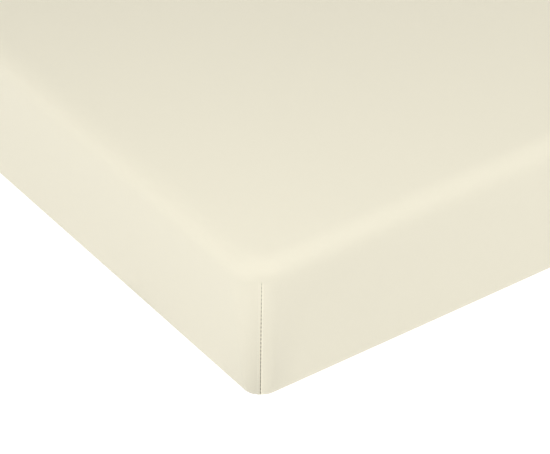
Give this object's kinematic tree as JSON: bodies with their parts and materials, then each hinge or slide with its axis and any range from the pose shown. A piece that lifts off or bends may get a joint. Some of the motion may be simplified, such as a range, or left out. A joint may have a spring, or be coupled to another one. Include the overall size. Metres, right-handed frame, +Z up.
{
  "type": "fitted sheet on a mattress",
  "caption": "Plain ivory fitted sheet stretched taut over a mattress: one cloth panel seamed at its corners, round-edged and hemmed under the lower edge.",
  "frame": {"origin": "on the floor, below the centre of the dressed mattress", "axes": "+Z up, +Y along the length of the mattress, +X across its width"},
  "size_m": [1.4, 2, 0.25],
  "materials": {
    "sheet_cotton": "plain woven cotton, smooth and matt, ivory",
    "mattress_ticking": "plain white ticking, matt"
  },
  "bodies": {
    "root": {"sheet": "sheet_cotton", "mattress": "mattress_ticking"}
  },
  "joints": []
}
